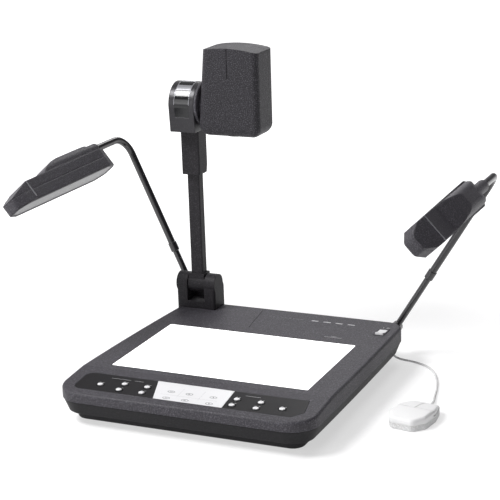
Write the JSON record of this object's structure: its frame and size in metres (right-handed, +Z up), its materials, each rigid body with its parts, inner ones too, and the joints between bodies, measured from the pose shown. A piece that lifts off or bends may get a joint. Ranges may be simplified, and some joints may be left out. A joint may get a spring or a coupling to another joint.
{
  "type": "document camera",
  "caption": "Flat base with a lit stage, a folding column with a camera head, bent-arm side lamps and a small mouse on a cord.",
  "frame": {"origin": "on the table under the middle of the lit stage, at the underside of the centre foot", "axes": "+X to the right of the user, +Y away from the user towards the column and lamp pivots, +Z up"},
  "size_m": [0.6611, 0.4782, 0.4721],
  "materials": {
    "case_charcoal": "fine moulded texture, satin",
    "case_lower_charcoal": "fine moulded texture, satin",
    "lamp_charcoal": "fine moulded texture",
    "arm_black": "satin black paint",
    "diffuser_grey": "prismatic diffuser",
    "opal_white": "opal sheet",
    "tray_white": "white reflector",
    "inlay_black": "smooth printed inlay",
    "key_white": "light key plastic",
    "steel": "plated steel",
    "rubber_black": "rubber",
    "board_green": "circuit board",
    "panel_black": "black plastic",
    "bearing_nylon": "nylon",
    "block_silver": "silver grey paint",
    "band_gloss": "gloss black",
    "lens_glass": "coated lens",
    "mouse_ivory": "light moulded plastic",
    "cord_grey": "grey cable jacket"
  },
  "bodies": {
    "base": {"upper_case": "case_charcoal", "lower_case": "case_lower_charcoal", "case_screws": "steel", "rubber_feet": "rubber_black", "stage_panel": "opal_white", "light_tray": "tray_white", "stage_tubes": "tray_white", "control_inlay": "inlay_black", "membrane_panel": "key_white", "key_board": "board_green", "rocker_bezel": "case_charcoal", "main_board": "board_green", "power_supply": "steel", "rear_panel": "panel_black", "mains_inlet": "panel_black", "column_hub": "case_charcoal", "hinge_pin": "steel", "lamp_brackets": "arm_black", "mouse_bottom": "mouse_ivory", "mouse_top": "mouse_ivory", "mouse_plug": "panel_black", "mouse_cord": "cord_grey"},
    "column": {"column_post": "case_charcoal"},
    "sleeve": {"column_sleeve": "case_charcoal", "glide_liner": "bearing_nylon", "tilt_block": "block_silver", "block_band": "band_gloss", "tilt_bearings": "bearing_nylon"},
    "head": {"tilt_shaft": "steel", "tilt_ring": "case_charcoal", "head_front_shell": "case_charcoal", "head_rear_shell": "case_charcoal", "lens_barrel": "panel_black", "lens_glass": "lens_glass", "camera_board": "board_green"},
    "power_rocker": {"power_rocker": "key_white"},
    "mouse_key_left": {"mouse_key_left": "mouse_ivory"},
    "mouse_key_right": {"mouse_key_right": "mouse_ivory"},
    "lamp_left_lower_arm": {"lamp_left_lower_arm": "arm_black"},
    "lamp_left_upper_arm": {"lamp_left_upper_arm": "arm_black"},
    "lamp_left_head": {"lamp_left_upper_shell": "lamp_charcoal", "lamp_left_lower_shell": "lamp_charcoal", "lamp_left_diffuser": "diffuser_grey", "lamp_left_tube": "tray_white"},
    "lamp_right_lower_arm": {"lamp_right_lower_arm": "arm_black"},
    "lamp_right_upper_arm": {"lamp_right_upper_arm": "arm_black"},
    "lamp_right_head": {"lamp_right_upper_shell": "lamp_charcoal", "lamp_right_lower_shell": "lamp_charcoal", "lamp_right_diffuser": "diffuser_grey", "lamp_right_tube": "tray_white"},
    "button_1_rear": {"button_1_rear": "key_white"},
    "button_1_front": {"button_1_front": "key_white"},
    "button_2_rear": {"button_2_rear": "key_white"},
    "button_2_front": {"button_2_front": "key_white"},
    "button_3_rear": {"button_3_rear": "key_white"},
    "button_3_front": {"button_3_front": "key_white"},
    "button_4_rear": {"button_4_rear": "key_white"},
    "button_4_front": {"button_4_front": "key_white"},
    "button_left_end": {"button_left_end": "key_white"},
    "button_right_end": {"button_right_end": "key_white"}
  },
  "joints": [
    {"name": "column_fold", "type": "hinge", "parent": "base", "child": "column", "pos_m": [-0.1455, 0.19, 0.096], "axis": [1, 0, 0], "range_deg": [0, 90]},
    {"name": "sleeve_height", "type": "slide", "parent": "column", "child": "sleeve", "axis": [0, 0, 1], "range_m": [-0.045, 0]},
    {"name": "head_tilt", "type": "hinge", "parent": "sleeve", "child": "head", "pos_m": [-0.12, 0.19, 0.382], "axis": [1, 0, 0], "range_deg": [-95, 0]},
    {"name": "lamp_left_swing", "type": "hinge", "parent": "base", "child": "lamp_left_lower_arm", "pos_m": [-0.162, 0.222, 0.046], "axis": [0, 1, 0], "range_deg": [-25, 8]},
    {"name": "lamp_left_swivel", "type": "hinge", "parent": "lamp_left_lower_arm", "child": "lamp_left_upper_arm", "pos_m": [-0.2015, 0.222, 0.1335], "axis": [-0.4115, 0, 0.9114], "range_deg": [-20, 20]},
    {"name": "lamp_left_tilt", "type": "hinge", "parent": "lamp_left_upper_arm", "child": "lamp_left_head", "pos_m": [-0.29121, 0.14045, 0.31134], "axis": [-0.0953, -0.9945, -0.043], "range_deg": [-50, 30]},
    {"name": "lamp_right_swing", "type": "hinge", "parent": "base", "child": "lamp_right_lower_arm", "pos_m": [0.168, 0.222, 0.046], "axis": [0, -1, 0], "range_deg": [-25, 8]},
    {"name": "lamp_right_swivel", "type": "hinge", "parent": "lamp_right_lower_arm", "child": "lamp_right_upper_arm", "pos_m": [0.2183, 0.222, 0.12777], "axis": [-0.524, 0, -0.8517], "range_deg": [-20, 20]},
    {"name": "lamp_right_tilt", "type": "hinge", "parent": "lamp_right_upper_arm", "child": "lamp_right_head", "pos_m": [0.32319, 0.14, 0.29688], "axis": [-0.0074, 1, 0.0046], "range_deg": [-50, 30]},
    {"name": "power_rocker_rock", "type": "hinge", "parent": "base", "child": "power_rocker", "pos_m": [0.166, 0.159, 0.0538], "axis": [1, 0, 0], "range_deg": [0, 14]},
    {"name": "button_1_rear_press", "type": "slide", "parent": "base", "child": "button_1_rear", "axis": [0, 0.0924, -0.9957], "range_m": [0, 0.001], "stiffness_N_per_m": 300},
    {"name": "button_1_front_press", "type": "slide", "parent": "base", "child": "button_1_front", "axis": [0, 0.0924, -0.9957], "range_m": [0, 0.001], "stiffness_N_per_m": 300},
    {"name": "button_2_rear_press", "type": "slide", "parent": "base", "child": "button_2_rear", "axis": [0, 0.0924, -0.9957], "range_m": [0, 0.001], "stiffness_N_per_m": 300},
    {"name": "button_2_front_press", "type": "slide", "parent": "base", "child": "button_2_front", "axis": [0, 0.0924, -0.9957], "range_m": [0, 0.001], "stiffness_N_per_m": 300},
    {"name": "button_3_rear_press", "type": "slide", "parent": "base", "child": "button_3_rear", "axis": [0, 0.0924, -0.9957], "range_m": [0, 0.001], "stiffness_N_per_m": 300},
    {"name": "button_3_front_press", "type": "slide", "parent": "base", "child": "button_3_front", "axis": [0, 0.0924, -0.9957], "range_m": [0, 0.001], "stiffness_N_per_m": 300},
    {"name": "button_4_rear_press", "type": "slide", "parent": "base", "child": "button_4_rear", "axis": [0, 0.0924, -0.9957], "range_m": [0, 0.001], "stiffness_N_per_m": 300},
    {"name": "button_4_front_press", "type": "slide", "parent": "base", "child": "button_4_front", "axis": [0, 0.0924, -0.9957], "range_m": [0, 0.001], "stiffness_N_per_m": 300},
    {"name": "button_left_end_press", "type": "slide", "parent": "base", "child": "button_left_end", "axis": [0, 0.0924, -0.9957], "range_m": [0, 0.001], "stiffness_N_per_m": 300},
    {"name": "button_right_end_press", "type": "slide", "parent": "base", "child": "button_right_end", "axis": [0, 0.0924, -0.9957], "range_m": [0, 0.001], "stiffness_N_per_m": 300},
    {"name": "mouse_key_left_press", "type": "slide", "parent": "base", "child": "mouse_key_left", "axis": [0, 0, -1], "range_m": [0, 0.0008], "stiffness_N_per_m": 600},
    {"name": "mouse_key_right_press", "type": "slide", "parent": "base", "child": "mouse_key_right", "axis": [0, 0, -1], "range_m": [0, 0.0008], "stiffness_N_per_m": 600}
  ]
}
